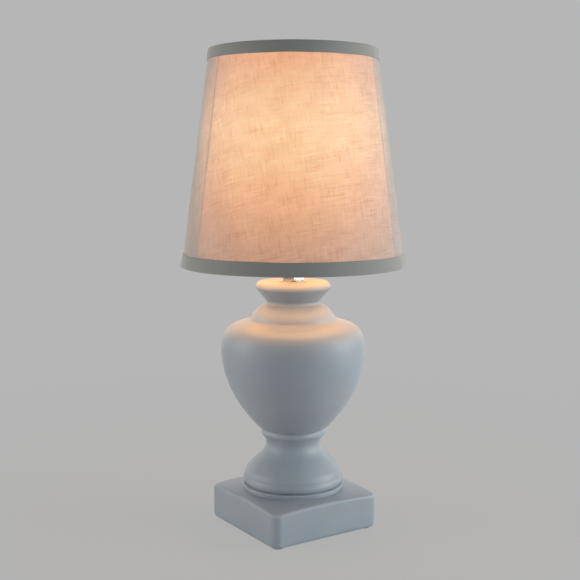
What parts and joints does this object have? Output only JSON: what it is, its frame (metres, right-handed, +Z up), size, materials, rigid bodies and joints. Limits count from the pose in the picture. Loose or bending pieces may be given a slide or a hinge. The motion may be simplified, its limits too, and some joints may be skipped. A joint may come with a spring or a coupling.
{
  "type": "table lamp",
  "caption": "Small table lamp with a glazed ceramic urn base on a square plinth, and a tapered fabric shade on a lampholder with a screw-in bulb.",
  "frame": {"origin": "on the table under the lamp's axis, at the bottom centre of the object's box", "axes": "+Z up along the lamp's axis; the square plinth's sides lie along X and Y; +Y is the back, where the cord inlet is"},
  "size_m": [0.15, 0.15, 0.3195],
  "materials": {
    "glaze": "satin grey-blue glaze on slip-cast earthenware",
    "pad": "pressed felt-grey pad",
    "bush": "moulded nylon bush",
    "brass": "plain brass",
    "steel": "zinc-plated steel",
    "chrome": "bright chrome plate",
    "holder": "moulded thermoset, slightly glossy",
    "frame_paint": "powder-coated steel wire",
    "lining": "stiff styrene lining",
    "shade_fabric": "plain-woven slubby linen laminated to the lining",
    "trim_tape": "grey ribbon tape, folded over the edge",
    "bulb_glass": "opal glass, lit",
    "clear_glass": "clear glass stem",
    "filament": "phosphor-coated filaments",
    "insulator": "black glass"
  },
  "bodies": {
    "stand": {"ceramic_body": "glaze", "foot_pads": "pad", "cord_bush": "bush", "lamp_pipe": "brass", "bottom_plate": "steel", "lock_washer": "steel", "bottom_nut": "steel", "neck_washer": "chrome", "neck_nut": "chrome", "holder_cap": "holder", "holder_lock_screw": "steel", "holder_insert": "holder", "terminal_blocks": "brass", "terminal_screws": "steel", "screw_shell": "brass", "centre_contact": "brass", "holder_skirt": "holder"},
    "shade": {"fitter_hub": "frame_paint", "fitter_arms": "frame_paint", "low_wire_ring": "frame_paint", "top_wire_ring": "frame_paint", "frame_uprights": "frame_paint", "shade_lining": "lining", "shade_cover": "shade_fabric", "low_trim": "trim_tape", "top_trim": "trim_tape"},
    "shade_ring": {"shade_clamp_ring": "holder"},
    "bulb_envelope": {"bulb_glass": "bulb_glass"},
    "bulb_screw": {"bulb_cap": "steel", "bulb_insulator": "insulator", "bulb_contact": "steel", "bulb_stem": "clear_glass", "bulb_filaments": "filament"}
  },
  "joints": [
    {"name": "shade_turn", "type": "hinge", "parent": "stand", "child": "shade", "pos_m": [0, 0, 0], "axis": [0, 0, 1], "continuous": true},
    {"name": "ring_travel", "type": "slide", "parent": "stand", "child": "shade_ring", "axis": [0, 0, 1], "range_m": [0, 0.017]},
    {"name": "bulb_lift", "type": "slide", "parent": "stand", "child": "bulb_envelope", "axis": [0, 0, 1], "range_m": [0, 0.00987]},
    {"name": "bulb_turn", "type": "hinge", "parent": "bulb_envelope", "child": "bulb_screw", "pos_m": [0, 0, 0], "axis": [0, 0, 1], "range_deg": [0, 1260]}
  ],
  "couplings": [
    {"joint": "bulb_lift", "follows": "bulb_turn", "m_per_rad": 0.00044882}
  ]
}
